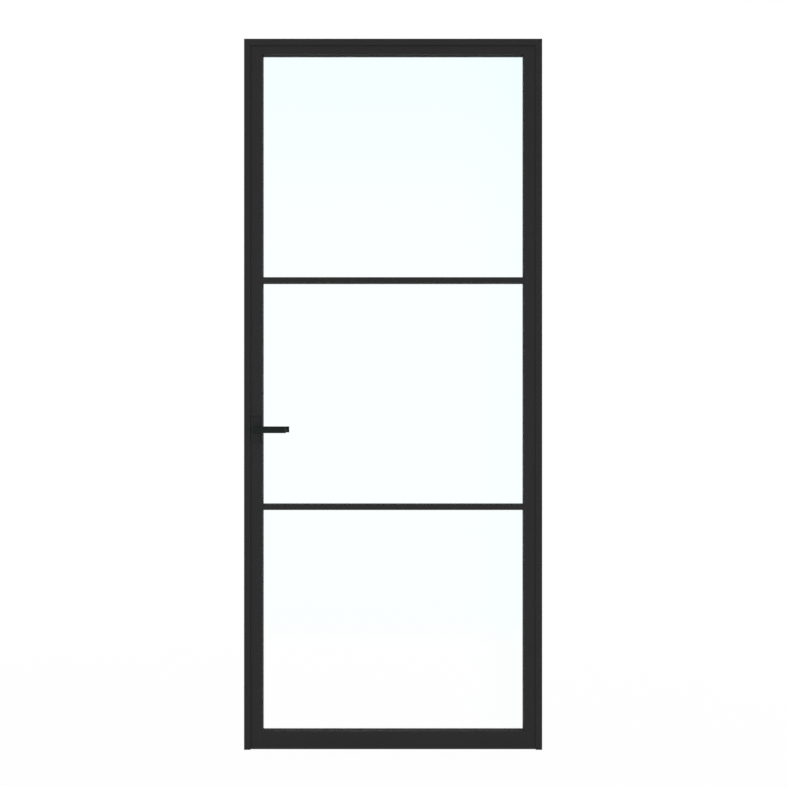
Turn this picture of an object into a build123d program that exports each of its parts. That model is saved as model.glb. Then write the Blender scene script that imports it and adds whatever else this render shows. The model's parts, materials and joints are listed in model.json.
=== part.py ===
from build123d import *
import os
from math import cos, radians, sin

# A hinged glass door in its slim frame: three clear panes in a dark metal leaf,
# lever handles at the left, hinges on the far side at the right.
# X runs to the right, Z up, and Y away from the side with the stop, where the door is pushed.
# Y = 0 is the middle of the leaf's thickness, and the origin lies on the floor in the middle.

os.makedirs("parts", exist_ok=True)

# Overall size over the frame
WIDTH = 981.0
HEIGHT = 2340.0

# Frame extrusion: a hollow body with a thin flange in front that the leaf closes against
FRAME_BODY = 10.0
FRAME_OUTER_WALL = 1.8
FRAME_REBATE_WALL = 4.0
FRAME_BACK_WALL = 2.5
FLANGE_REACH = 21.0
FLANGE_THICK = 3.0
STOP_SEAL_ROOM = 2.5
STOP_SEAL_FOOT = 3.0
STOP_SEAL_FOOT_DEPTH = 1.5
STOP_SEAL_LAND = 1.0
STOP_SEAL_FOOT_INSET = 3.0
SOFT_CLEAR = 0.3

# Leaf: thickness, gaps round it and widths seen from the front, measured from the frame's outside
LEAF_THICK = 40.0
EDGE_GAP = 3.0
FLOOR_GAP = 5.0
SIGHT_SIDE = 60.0
SIGHT_TOP = 48.4
SIGHT_BOTTOM = 59.4
BAR = 18.9
LOWER_PANE = 729.4
MIDDLE_PANE = 729.4

# Walls of the leaf's extrusions
EDGE_WALL = 4.0
FACE_WALL = 2.0
REBATE_WALL = 3.0
LEG_THICK = 12.0
LEG_BACK_WALL = 4.0

# Glazing
REBATE = 8.0
GLASS = 8.0
GLASS_EDGE_ROOM = 3.0
GASKET_SETBACK = 0.5
GASKET_WIDTH = 7.0
GASKET_FOOT = 3.0
GASKET_FOOT_START = 3.0
GASKET_FOOT_DEPTH = 2.0
BEAD_WALL = 1.2
BEAD_NIB = 3.0
BEAD_NIB_DEPTH = 1.0
BEAD_NIB_FROM_BACK = 4.0
SEAT_CLEAR = 0.1
BLOCK_LENGTH = 80.0

# Bottom seal, stile plugs and corner pieces
SEAL_DEPTH = 7.0
SEAL_FLOOR_CLEAR = 0.6
SEAL_FOOT = 3.0
SEAL_FOOT_HEIGHT = 2.4
PLUG_THICK = 3.0
SPIGOT_LENGTH = 45.0
SPIGOT_CLEAR = 0.3
SPIGOT_BORE = 10.0
CLEAT_LENGTH = 60.0
CLEAT_CLEAR = 0.2

# Wall fixings through the jambs, from the floor, from the top and each side of mid-height
FIX_FROM_FLOOR = 180.0
FIX_FROM_TOP = 150.0
FIX_FROM_MIDDLE = 330.0
FIX_HOLE_R = 3.25
FIX_SINK_R = 5.75

# Hinges: the door's plate nests in a window of the frame's plate. One is at mid-height, the others near the ends
HINGE_FROM_END = 260.0
HINGE_LENGTH = 100.0
HINGE_PLATE = 2.4
HINGE_WINDOW = 52.0
HINGE_REACH = 32.0
HINGE_BRIDGE = 6.0
HINGE_NEST_CLEAR = 0.6
KNUCKLE_R = 6.0
KNUCKLE_OFFSET = 7.0
PIN_R = 3.5
PIN_RUNNING_CLEAR = 0.05
PIN_HEAD = 2.5
WASHER = 1.2
WASHER_CLEAR = 0.05
SCREW_R = 2.5
SCREW_HEAD_R = 4.4
SCREW_LENGTH = 9.0
HINGE_FRAME_SCREW_Y = (26.0, 8.0)
HINGE_DOOR_SCREW_Y = (18.0, 8.0)
HINGE_DOOR_SCREW_Z = 15.0
HEX_KEY = 3.0
HEX_DEPTH = 1.4

# Lock, measured from the frame's outside edge on the lock side and from the lever's height
LEVER_Z = 1053.0
BACKSET = 25.0
LEVER_TURN = 35.0
FACEPLATE_THICK = 2.5
FACEPLATE_WIDTH = 20.0
FACEPLATE_HALF_LENGTH = 85.0
FACEPLATE_SCREW_Z = 76.0
CASE_DEPTH = 32.0
CASE_THICK = 15.0
CASE_WALL = 1.2
CASE_BELOW = 52.0
CASE_ABOVE = 50.0
CASE_CLEAR = 0.15
HUB_R = 6.0
HUB_DISC_R = 7.5
HUB_DISC_THICK = 8.0
ARM_THICK = 6.0
ARM_TIP_R = 2.5
ARM_ROOT = 3.5
ARM_REST = 25.0
LATCH_THROW = 10.0
LATCH_THICK = 11.0
LATCH_TALL = 20.0
LATCH_LENGTH = 22.0
LATCH_Z = 20.0
LATCH_CLEAR = 0.25
LATCH_TIP_THICK = 3.0
FORK_PLATE = 2.0
FORK_LOW = 16.0
FORK_HIGH = 22.0
FORK_BAR = 2.2
ARM_CLEAR = 0.1
SPRING_R = 2.4
SPRING_WIRE_R = 0.45
SPRING_Z = 26.5
SPRING_TURNS = 6
STRIKE_THICK = 1.5
STRIKE_WIDTH = 22.0
STRIKE_LENGTH = 110.0
STRIKE_SCREW_Z = 45.0
STRIKE_SCREW_LENGTH = 7.0
STRIKE_LIP = 34.0
STRIKE_PLAY = 1.0

# Lever handles
SPINDLE = 8.0
SPINDLE_HALF_LENGTH = 46.0
ROSETTE_WIDE = 31.0
ROSETTE_TALL = 88.0
ROSETTE_THICK = 6.0
ROSETTE_EDGE = 1.0
ROSETTE_CORNER_R = 3.0
NECK_R = 9.0
NECK_RUNNING_CLEAR = 0.05
NECK_FACE_CLEAR = 1.0
LEVER_STANDOFF = 38.0
LEVER_THICK = 12.0
LEVER_TALL = 20.0
LEVER_REACH = 102.5
LEVER_EDGE = 0.8
ROSETTE_BOLT_R = 2.0
ROSETTE_BOLT_Z = 36.0
ROSETTE_BOLT_SEAT = 3.0
GRUB_R = 2.5

# Places worked out from the sizes above
OUTSIDE = WIDTH / 2
FRONT = -LEAF_THICK / 2
BACK = LEAF_THICK / 2
STOP_FACE = FRONT - STOP_SEAL_ROOM
FRAME_FRONT = STOP_FACE - FLANGE_THICK
REBATE_X = OUTSIDE - FRAME_BODY
LEAF_X = REBATE_X - EDGE_GAP
LEAF_TOP = HEIGHT - FRAME_BODY - EDGE_GAP
SIGHT_X = OUTSIDE - SIGHT_SIDE
TUBE_X = SIGHT_X + REBATE
TOP_SIGHT = HEIGHT - SIGHT_TOP
LEG_BACK = FRONT + LEG_THICK
GLASS_FRONT = -GLASS / 2
GLASS_BACK = GLASS / 2
BEAD_FRONT = GLASS_BACK + (GLASS_FRONT - LEG_BACK)
NIB_BACK = BACK - BEAD_NIB_FROM_BACK
NIB_FRONT = NIB_BACK - BEAD_NIB
LOWER_BAR = SIGHT_BOTTOM + LOWER_PANE
UPPER_BAR = LOWER_BAR + BAR + MIDDLE_PANE
PANES = {
    "bottom": (SIGHT_BOTTOM, LOWER_BAR),
    "middle": (LOWER_BAR + BAR, UPPER_BAR),
    "top": (UPPER_BAR + BAR, TOP_SIGHT),
}
LEVER_X = -LEAF_X + BACKSET
CASE_FRONT_X = -LEAF_X + FACEPLATE_THICK
CASE_BACK_X = CASE_FRONT_X + CASE_DEPTH
LATCH_TIP_X = -LEAF_X - LATCH_THROW
LATCH_BACK_X = LATCH_TIP_X + LATCH_LENGTH
ARM_SWEEP = radians(LEVER_TURN - ARM_REST), radians(ARM_REST)
ARM_R = LATCH_THROW / (sin(ARM_SWEEP[0]) + sin(ARM_SWEEP[1]))
HINGE_AXIS_X = REBATE_X - EDGE_GAP / 2
HINGE_AXIS_Y = BACK + KNUCKLE_OFFSET
STRIKE_HEAD_R = SCREW_R + STRIKE_THICK
MIDDLE = HEIGHT / 2
FIX_HEIGHTS = (FIX_FROM_FLOOR, MIDDLE - FIX_FROM_MIDDLE, MIDDLE + FIX_FROM_MIDDLE, HEIGHT - FIX_FROM_TOP)
HINGE_HEIGHTS = (HINGE_FROM_END, MIDDLE, HEIGHT - HINGE_FROM_END)
STOP_GROOVE = FRAME_BODY + STOP_SEAL_LAND + STOP_SEAL_FOOT_INSET


def save(part, name):
    """Label a finished piece and write it as its own file."""
    part.label = name
    export_step(part, f"parts/{name}.step")


def span(a, b, c, d, mode=Mode.ADD):
    """Rectangle from (a, c) to (b, d) in the sketch being drawn."""
    with Locations(((a + b) / 2, (c + d) / 2)):
        Rectangle(abs(b - a), abs(d - c), mode=mode)


def block(low, high, mode=Mode.ADD):
    """Box between two opposite corners in the part being built."""
    with Locations(tuple((a + b) / 2 for a, b in zip(low, high))):
        Box(*(abs(b - a) for a, b in zip(low, high)), mode=mode)


def sideways(x, y, z, facing):
    """Plane at a point whose normal runs along X, towards +X for 1 and towards -X for -1."""
    return Plane(origin=(x, y, z), x_dir=(0, 1, 0), z_dir=(facing, 0, 0))


def upright(y):
    """Vertical plane at a depth, drawn with X to the right and Z up; extruding goes towards +Y."""
    return Plane(origin=(0, y, 0), x_dir=(-1, 0, 0), z_dir=(0, 1, 0))


def lengthwise(x):
    """Plane across the rails, drawn with Y and Z; extruding goes towards +X."""
    return Plane(origin=(x, 0, 0), x_dir=(0, 1, 0), z_dir=(1, 0, 0))


def countersunk_screws(length, head_r, places):
    """Group of countersunk screws with a hexagon socket, their heads flush at the given points."""
    with BuildPart() as screws:
        for x, y, z, facing in places:
            with BuildSketch(sideways(x, y, z, facing)):
                Circle(head_r)
            with BuildSketch(sideways(x - facing * (head_r - SCREW_R), y, z, facing)):
                Circle(SCREW_R)
            loft()
            with BuildSketch(sideways(x - facing * (head_r - SCREW_R), y, z, facing)):
                Circle(SCREW_R)
            extrude(amount=-(length - head_r + SCREW_R))
            with BuildSketch(sideways(x, y, z, facing)):
                RegularPolygon(HEX_KEY / 2, 6, major_radius=False)
            extrude(amount=-HEX_DEPTH, mode=Mode.SUBTRACT)
    return screws.part


# Screw places: each is (y, z) on its face
HINGE_ARM_Z = (HINGE_WINDOW + HINGE_LENGTH) / 4
HINGE_FRAME_SCREWS = [
    (BACK - inset, z0 + s * HINGE_ARM_Z)
    for z0 in HINGE_HEIGHTS
    for s in (-1, 1)
    for inset in HINGE_FRAME_SCREW_Y
]
HINGE_DOOR_SCREWS = [
    (BACK - inset, z0 + s * HINGE_DOOR_SCREW_Z)
    for z0 in HINGE_HEIGHTS
    for inset, s in zip(HINGE_DOOR_SCREW_Y[:1] + 2 * HINGE_DOOR_SCREW_Y[1:], (0, -1, 1))
]

# The hinge plates are thinner than the gap, each on its own side of it
FRAME_PLATE_X = REBATE_X - HINGE_PLATE
DOOR_PLATE_X = LEAF_X + HINGE_PLATE


def jamb(side):
    """Upright of the frame, mitred at the top, hollow, with the stop flange and its seal groove."""
    with BuildPart() as part:
        with BuildSketch():
            with BuildLine():
                Polyline(
                    (side * OUTSIDE, FRAME_FRONT),
                    (side * OUTSIDE, BACK),
                    (side * REBATE_X, BACK),
                    (side * REBATE_X, STOP_FACE),
                    (side * (OUTSIDE - FLANGE_REACH), STOP_FACE),
                    (side * (OUTSIDE - FLANGE_REACH), FRAME_FRONT),
                    close=True,
                )
            make_face()
            span(
                side * (OUTSIDE - FRAME_OUTER_WALL),
                side * (REBATE_X + FRAME_REBATE_WALL),
                STOP_FACE,
                BACK - FRAME_BACK_WALL,
                Mode.SUBTRACT,
            )
            span(
                side * (OUTSIDE - STOP_GROOVE),
                side * (OUTSIDE - STOP_GROOVE - STOP_SEAL_FOOT),
                STOP_FACE - STOP_SEAL_FOOT_DEPTH,
                STOP_FACE,
                Mode.SUBTRACT,
            )
        extrude(amount=HEIGHT)
        split(bisect_by=Plane((side * OUTSIDE, 0, HEIGHT), z_dir=(side, 0, -1)), keep=Keep.TOP)
        for z in FIX_HEIGHTS:
            with Locations(sideways(side * REBATE_X, 0, z, -side)):
                CounterSinkHole(FIX_HOLE_R, FIX_SINK_R, depth=FRAME_BODY, counter_sink_angle=90)
        if side > 0:
            for y, z in HINGE_FRAME_SCREWS:
                with Locations(sideways(side * REBATE_X, y, z, -side)):
                    Hole(SCREW_R, depth=FRAME_REBATE_WALL)
        else:
            strike_pocket()
    return part.part


def strike_pocket():
    """Recess for the strike plate, the hole for the latch and the strike's screw holes."""
    z = LEVER_Z + LATCH_Z
    half = STRIKE_WIDTH / 2
    block(
        (-REBATE_X - STRIKE_THICK, -half, z - STRIKE_LENGTH / 2),
        (-REBATE_X, half, z + STRIKE_LENGTH / 2),
        Mode.SUBTRACT,
    )
    block(
        (-REBATE_X - STRIKE_THICK, half, z - STRIKE_LIP / 2),
        (-REBATE_X, BACK, z + STRIKE_LIP / 2),
        Mode.SUBTRACT,
    )
    hole_y = LATCH_THICK / 2 + STRIKE_PLAY
    hole_z = LATCH_TALL / 2 + STRIKE_PLAY
    block(
        (-REBATE_X - FRAME_REBATE_WALL, -hole_y, z - hole_z),
        (-REBATE_X, hole_y, z + hole_z),
        Mode.SUBTRACT,
    )
    for s in (-1, 1):
        with Locations(sideways(-REBATE_X, 0, z + s * STRIKE_SCREW_Z, 1)):
            Hole(SCREW_R, depth=FRAME_REBATE_WALL)


save(jamb(-1), "jamb_lock_side")
save(jamb(1), "jamb_hinge_side")

# Head of the frame: the same extrusion laid level and mitred at both ends
with BuildPart() as frame_head:
    with BuildSketch(lengthwise(-OUTSIDE)):
        with BuildLine():
            Polyline(
                (FRAME_FRONT, HEIGHT),
                (BACK, HEIGHT),
                (BACK, HEIGHT - FRAME_BODY),
                (STOP_FACE, HEIGHT - FRAME_BODY),
                (STOP_FACE, HEIGHT - FLANGE_REACH),
                (FRAME_FRONT, HEIGHT - FLANGE_REACH),
                close=True,
            )
        make_face()
        span(
            STOP_FACE,
            BACK - FRAME_BACK_WALL,
            HEIGHT - FRAME_OUTER_WALL,
            HEIGHT - FRAME_BODY + FRAME_REBATE_WALL,
            Mode.SUBTRACT,
        )
        span(
            STOP_FACE - STOP_SEAL_FOOT_DEPTH,
            STOP_FACE,
            HEIGHT - STOP_GROOVE,
            HEIGHT - STOP_GROOVE - STOP_SEAL_FOOT,
            Mode.SUBTRACT,
        )
    extrude(amount=WIDTH)
    for side in (-1, 1):
        split(bisect_by=Plane((side * OUTSIDE, 0, HEIGHT), z_dir=(side, 0, -1)), keep=Keep.BOTTOM)
save(frame_head.part, "frame_head")

# Corner cleats: flat angles inside the hollow of the mitred corners
with BuildPart() as frame_corner_cleats:
    near = FRAME_OUTER_WALL + CLEAT_CLEAR
    far = FRAME_BODY - FRAME_REBATE_WALL - CLEAT_CLEAR
    cleat_y = STOP_FACE + CLEAT_CLEAR, BACK - FRAME_BACK_WALL - CLEAT_CLEAR
    for side in (-1, 1):
        block(
            (side * (OUTSIDE - near), cleat_y[0], HEIGHT - CLEAT_LENGTH),
            (side * (OUTSIDE - far), cleat_y[1], HEIGHT - near),
        )
        block(
            (side * (OUTSIDE - near), cleat_y[0], HEIGHT - far),
            (side * (OUTSIDE - CLEAT_LENGTH), cleat_y[1], HEIGHT - near),
        )
save(frame_corner_cleats.part, "frame_corner_cleats")

# Stop seal: one strip up a jamb, over the head and down the other, its foot in the groove
with BuildPart() as frame_seal:
    for a, b, y0, depth in (
        (
            FRAME_BODY + STOP_SEAL_LAND,
            FLANGE_REACH - STOP_SEAL_LAND,
            STOP_FACE,
            STOP_SEAL_ROOM - SOFT_CLEAR,
        ),
        (
            STOP_GROOVE + SEAT_CLEAR,
            STOP_GROOVE + STOP_SEAL_FOOT - SEAT_CLEAR,
            STOP_FACE - STOP_SEAL_FOOT_DEPTH + SEAT_CLEAR,
            STOP_SEAL_FOOT_DEPTH - SEAT_CLEAR,
        ),
    ):
        with BuildSketch(upright(y0)):
            span(-(OUTSIDE - a), OUTSIDE - a, 0, HEIGHT - a)
            span(-(OUTSIDE - b), OUTSIDE - b, 0, HEIGHT - b, Mode.SUBTRACT)
        extrude(amount=depth)
save(frame_seal.part, "frame_seal")

# Strike plate with its lip to the frame's back edge
with BuildPart() as strike_plate:
    z = LEVER_Z + LATCH_Z
    with BuildSketch(sideways(-REBATE_X - STRIKE_THICK, 0, z, 1)):
        RectangleRounded(STRIKE_WIDTH, STRIKE_LENGTH, 2.0)
        span(0, BACK, -STRIKE_LIP / 2, STRIKE_LIP / 2)
        Rectangle(LATCH_THICK + 2 * STRIKE_PLAY, LATCH_TALL + 2 * STRIKE_PLAY, mode=Mode.SUBTRACT)
    extrude(amount=STRIKE_THICK)
    for s in (-1, 1):
        with Locations(sideways(-REBATE_X, 0, z + s * STRIKE_SCREW_Z, 1)):
            CounterSinkHole(SCREW_R, STRIKE_HEAD_R, depth=STRIKE_THICK, counter_sink_angle=90)
save(strike_plate.part, "strike_plate")


def stile(side):
    """Full-height upright of the leaf: a tube, and a front leg that the glass is bedded on."""
    with BuildPart() as part:
        with BuildSketch(Plane.XY.offset(FLOOR_GAP)):
            with BuildLine():
                Polyline(
                    (side * LEAF_X, FRONT),
                    (side * LEAF_X, BACK),
                    (side * TUBE_X, BACK),
                    (side * TUBE_X, LEG_BACK),
                    (side * SIGHT_X, LEG_BACK),
                    (side * SIGHT_X, FRONT),
                    close=True,
                )
            make_face()
            tube = side * (LEAF_X - EDGE_WALL), side * (TUBE_X + REBATE_WALL)
            span(*tube, FRONT + FACE_WALL, BACK - FACE_WALL, Mode.SUBTRACT)
            leg = side * (SIGHT_X + FACE_WALL), side * TUBE_X
            span(*leg, FRONT + FACE_WALL, LEG_BACK - LEG_BACK_WALL, Mode.SUBTRACT)
            foot = side * (SIGHT_X + GASKET_FOOT_START), side * (SIGHT_X + GASKET_FOOT_START + GASKET_FOOT)
            span(*foot, LEG_BACK - GASKET_FOOT_DEPTH, LEG_BACK, Mode.SUBTRACT)
            nib = side * TUBE_X, side * (TUBE_X + BEAD_NIB_DEPTH)
            span(*nib, NIB_FRONT, NIB_BACK, Mode.SUBTRACT)
        extrude(amount=LEAF_TOP - FLOOR_GAP)
        if side > 0:
            for y, z in HINGE_DOOR_SCREWS:
                with Locations(sideways(LEAF_X, y, z, 1)):
                    Hole(SCREW_R, depth=EDGE_WALL)
        else:
            lock_cutouts()
    return part.part


def handle_holes(middle_r, thick):
    """Holes for the handle and its two bolts, cut through a thickness centred on the leaf."""
    with BuildSketch(upright(-thick / 2)) as holes:
        with Locations((-LEVER_X, LEVER_Z)):
            Circle(middle_r)
        for s in (-1, 1):
            with Locations((-LEVER_X, LEVER_Z + s * ROSETTE_BOLT_Z)):
                Circle(ROSETTE_BOLT_R)
    extrude(holes.sketch, amount=thick, mode=Mode.SUBTRACT)


def lock_cutouts():
    """Seat of the faceplate, slot for the lock case, and the handle's holes in both faces."""
    half = FACEPLATE_WIDTH / 2 + CASE_CLEAR
    block(
        (-LEAF_X, -half, LEVER_Z - FACEPLATE_HALF_LENGTH - CASE_CLEAR),
        (CASE_FRONT_X, half, LEVER_Z + FACEPLATE_HALF_LENGTH + CASE_CLEAR),
        Mode.SUBTRACT,
    )
    half = CASE_THICK / 2 + CASE_CLEAR
    block(
        (-LEAF_X, -half, LEVER_Z - CASE_BELOW - CASE_CLEAR),
        (-LEAF_X + EDGE_WALL, half, LEVER_Z + CASE_ABOVE + CASE_CLEAR),
        Mode.SUBTRACT,
    )
    handle_holes(HUB_DISC_R, LEAF_THICK)
    for s in (-1, 1):
        with Locations(sideways(-LEAF_X, 0, LEVER_Z + s * FACEPLATE_SCREW_Z, -1)):
            Hole(SCREW_R, depth=EDGE_WALL)


save(stile(-1), "stile_lock_side")
save(stile(1), "stile_hinge_side")


def rail(edge, sight):
    """Level member between the stiles, coped at its ends round the stiles' front legs."""
    up = 1 if sight > edge else -1
    face = sight - up * REBATE
    with BuildPart() as part:
        with BuildSketch(lengthwise(-TUBE_X)):
            with BuildLine():
                Polyline(
                    (FRONT, edge),
                    (BACK, edge),
                    (BACK, face),
                    (LEG_BACK, face),
                    (LEG_BACK, sight),
                    (FRONT, sight),
                    close=True,
                )
            make_face()
            span(
                FRONT + FACE_WALL,
                BACK - FACE_WALL,
                edge + up * EDGE_WALL,
                face - up * REBATE_WALL,
                Mode.SUBTRACT,
            )
            span(
                FRONT + FACE_WALL,
                LEG_BACK - LEG_BACK_WALL,
                face,
                sight - up * FACE_WALL,
                Mode.SUBTRACT,
            )
            foot = sight - up * GASKET_FOOT_START
            span(LEG_BACK - GASKET_FOOT_DEPTH, LEG_BACK, foot, foot - up * GASKET_FOOT, Mode.SUBTRACT)
            span(NIB_FRONT, NIB_BACK, face, face - up * BEAD_NIB_DEPTH, Mode.SUBTRACT)
            if up > 0:
                seal = FRONT + SEAL_DEPTH / 2
                span(seal - SEAL_FOOT / 2, seal + SEAL_FOOT / 2, edge, edge + SEAL_FOOT_HEIGHT, Mode.SUBTRACT)
        extrude(amount=2 * TUBE_X)
        for side in (-1, 1):
            block((side * SIGHT_X, FRONT, edge), (side * TUBE_X, LEG_BACK, sight), Mode.SUBTRACT)
    return part.part


save(rail(FLOOR_GAP, SIGHT_BOTTOM), "rail_bottom")
save(rail(LEAF_TOP, TOP_SIGHT), "rail_top")


def transom(low):
    """Slim T-bar between two panes: a hollow front flange and a web that reaches the back."""
    middle = low + BAR / 2
    web = BAR / 2 - REBATE
    with BuildPart() as part:
        with BuildSketch(lengthwise(-SIGHT_X)):
            span(FRONT, LEG_BACK, low, low + BAR)
            span(
                FRONT + FACE_WALL,
                LEG_BACK - LEG_BACK_WALL,
                low + FACE_WALL,
                low + BAR - FACE_WALL,
                Mode.SUBTRACT,
            )
            for s in (-1, 1):
                foot = middle + s * (BAR / 2 - GASKET_FOOT_START)
                span(LEG_BACK - GASKET_FOOT_DEPTH, LEG_BACK, foot, foot - s * GASKET_FOOT, Mode.SUBTRACT)
        extrude(amount=2 * SIGHT_X)
        with BuildSketch(lengthwise(-TUBE_X)):
            span(LEG_BACK, BACK, middle - web, middle + web)
            for s in (-1, 1):
                span(NIB_FRONT, NIB_BACK, middle + s * web, middle + s * (web - BEAD_NIB_DEPTH), Mode.SUBTRACT)
        extrude(amount=2 * TUBE_X)
    return part.part


save(transom(LOWER_BAR), "transom_lower")
save(transom(UPPER_BAR), "transom_upper")


def pane(low, high):
    """Sheet of clear glass that reaches into the rebate on all four sides."""
    reach = REBATE - GLASS_EDGE_ROOM
    with BuildPart() as part:
        block((-SIGHT_X - reach, GLASS_FRONT, low - reach), (SIGHT_X + reach, GLASS_BACK, high + reach))
        chamfer(part.edges().filter_by(Axis.Y), 1.0)
    return part.part


def gaskets(low, high):
    """Front and back glazing gaskets of one pane, each one closed ring; the front has feet."""
    near = GASKET_SETBACK
    far = GASKET_SETBACK + GASKET_WIDTH
    foot = GASKET_FOOT_START + SEAT_CLEAR, GASKET_FOOT_START + GASKET_FOOT - SEAT_CLEAR
    with BuildPart() as part:
        for y in (LEG_BACK, GLASS_BACK):
            with BuildSketch(upright(y)):
                span(-SIGHT_X - far, SIGHT_X + far, low - far, high + far)
                span(-SIGHT_X - near, SIGHT_X + near, low - near, high + near, Mode.SUBTRACT)
            extrude(amount=GLASS_FRONT - LEG_BACK)
        with BuildSketch(upright(LEG_BACK)):
            for s in (-1, 1):
                span(s * (SIGHT_X + foot[0]), s * (SIGHT_X + foot[1]), low, high)
            span(-SIGHT_X, SIGHT_X, low - foot[0], low - foot[1])
            span(-SIGHT_X, SIGHT_X, high + foot[0], high + foot[1])
        extrude(amount=SEAT_CLEAR - GASKET_FOOT_DEPTH)
    return part.part


def level_bead(face, up):
    """Clip-on bead along the bottom (up = 1) or top (up = -1) of a pane."""
    with BuildPart() as part:
        with BuildSketch(lengthwise(-TUBE_X)):
            span(BEAD_FRONT, BACK, face, face + up * REBATE)
            span(
                BEAD_FRONT + BEAD_WALL,
                BACK - BEAD_WALL,
                face + up * BEAD_WALL,
                face + up * (REBATE - BEAD_WALL),
                Mode.SUBTRACT,
            )
            nib = face, face - up * (BEAD_NIB_DEPTH - SEAT_CLEAR)
            span(NIB_FRONT + SEAT_CLEAR, NIB_BACK - SEAT_CLEAR, *nib)
        extrude(amount=2 * TUBE_X)
    return part.part


def side_bead(side, low, high):
    """Clip-on bead up one side of a pane, between the level beads."""
    with BuildPart() as part:
        with BuildSketch(Plane.XY.offset(low)):
            span(side * TUBE_X, side * SIGHT_X, BEAD_FRONT, BACK)
            hollow = side * (TUBE_X - BEAD_WALL), side * (SIGHT_X + BEAD_WALL)
            span(*hollow, BEAD_FRONT + BEAD_WALL, BACK - BEAD_WALL, Mode.SUBTRACT)
            nib = side * TUBE_X, side * (TUBE_X + BEAD_NIB_DEPTH - SEAT_CLEAR)
            span(*nib, NIB_FRONT + SEAT_CLEAR, NIB_BACK - SEAT_CLEAR)
        extrude(amount=high - low)
    return part.part


for name, (low, high) in PANES.items():
    save(pane(low, high), f"glass_{name}")
    save(gaskets(low, high), f"glazing_gaskets_{name}")
    save(level_bead(low - REBATE, 1), f"bead_{name}_pane_bottom")
    save(level_bead(high + REBATE, -1), f"bead_{name}_pane_top")
    save(side_bead(-1, low, high), f"bead_{name}_pane_lock_side")
    save(side_bead(1, low, high), f"bead_{name}_pane_hinge_side")

# Setting blocks that carry each pane's lower edge near its quarter points
with BuildPart() as setting_blocks:
    for low, high in PANES.values():
        for side in (-1, 1):
            x = side * SIGHT_X / 2
            block(
                (x - BLOCK_LENGTH / 2, GLASS_FRONT, low - REBATE),
                (x + BLOCK_LENGTH / 2, GLASS_BACK, low - REBATE + GLASS_EDGE_ROOM),
            )
save(setting_blocks.part, "setting_blocks")

# Bottom seal: a strip under the whole leaf, its foot in the bottom rail's groove
with BuildPart() as bottom_seal:
    block((-LEAF_X, FRONT, SEAL_FLOOR_CLEAR), (LEAF_X, FRONT + SEAL_DEPTH, FLOOR_GAP))
    seal_y = FRONT + SEAL_DEPTH / 2
    half = SEAL_FOOT / 2 - SEAT_CLEAR
    block(
        (-SIGHT_X + SEAT_CLEAR, seal_y - half, FLOOR_GAP),
        (SIGHT_X - SEAT_CLEAR, seal_y + half, FLOOR_GAP + SEAL_FOOT_HEIGHT - SEAT_CLEAR),
    )
    chamfer(bottom_seal.edges().filter_by(Axis.X).group_by(Axis.Z)[0].sort_by(Axis.Y)[-1], 2.0)
save(bottom_seal.part, "bottom_seal")

# Plugs that close the open ends of the stiles
with BuildPart() as stile_plugs:
    for side in (-1, 1):
        for z in (FLOOR_GAP, LEAF_TOP - PLUG_THICK):
            block(
                (side * (TUBE_X + REBATE_WALL), FRONT + FACE_WALL, z),
                (side * (LEAF_X - EDGE_WALL), BACK - FACE_WALL, z + PLUG_THICK),
            )
save(stile_plugs.part, "stile_plugs")

# Spigots fixed to the stiles that the rails are pushed over
with BuildPart() as rail_spigots:
    for side in (-1, 1):
        for edge, sight in ((FLOOR_GAP, SIGHT_BOTTOM), (LEAF_TOP, TOP_SIGHT)):
            up = 1 if sight > edge else -1
            low = edge + up * (EDGE_WALL + SPIGOT_CLEAR)
            high = sight - up * (REBATE + REBATE_WALL + SPIGOT_CLEAR)
            block(
                (side * TUBE_X, LEG_BACK + SPIGOT_CLEAR, low),
                (side * (TUBE_X - SPIGOT_LENGTH), BACK - FACE_WALL - SPIGOT_CLEAR, high),
            )
            middle_y = (LEG_BACK + BACK - FACE_WALL) / 2
            with Locations(sideways(side * (TUBE_X - SPIGOT_LENGTH), middle_y, (low + high) / 2, -side)):
                Hole(SPIGOT_BORE / 2, depth=SPIGOT_LENGTH)
save(rail_spigots.part, "rail_spigots")


def knuckle(z0, low, high, bore):
    """One barrel of a hinge round the pin's axis, bored through."""
    for radius, mode in ((KNUCKLE_R, Mode.ADD), (bore, Mode.SUBTRACT)):
        with BuildSketch(Plane.XY.offset(z0 + low)) as ring:
            with Locations((HINGE_AXIS_X, HINGE_AXIS_Y)):
                Circle(radius)
        extrude(ring.sketch, amount=high - low, mode=mode)


DOOR_KNUCKLE = HINGE_WINDOW / 2 - WASHER - WASHER_CLEAR
PLATE_END = HINGE_AXIS_Y - PIN_R


def hinge_frame_half(z0):
    """The hinge's outer half: a plate with a window, and the upper and lower knuckles."""
    half = HINGE_LENGTH / 2
    with BuildPart() as part:
        block((FRAME_PLATE_X, BACK - HINGE_REACH, z0 - half), (REBATE_X, PLATE_END, z0 + half))
        block(
            (FRAME_PLATE_X, BACK - HINGE_REACH + HINGE_BRIDGE, z0 - HINGE_WINDOW / 2),
            (REBATE_X, PLATE_END, z0 + HINGE_WINDOW / 2),
            Mode.SUBTRACT,
        )
        knuckle(z0, HINGE_WINDOW / 2, half, PIN_R)
        knuckle(z0, -half, -HINGE_WINDOW / 2, PIN_R)
        for y, z in HINGE_FRAME_SCREWS:
            if abs(z - z0) < half:
                with Locations(sideways(FRAME_PLATE_X, y, z, -1)):
                    CounterSinkHole(SCREW_R, SCREW_HEAD_R, depth=HINGE_PLATE, counter_sink_angle=90)
    return part.part


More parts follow.
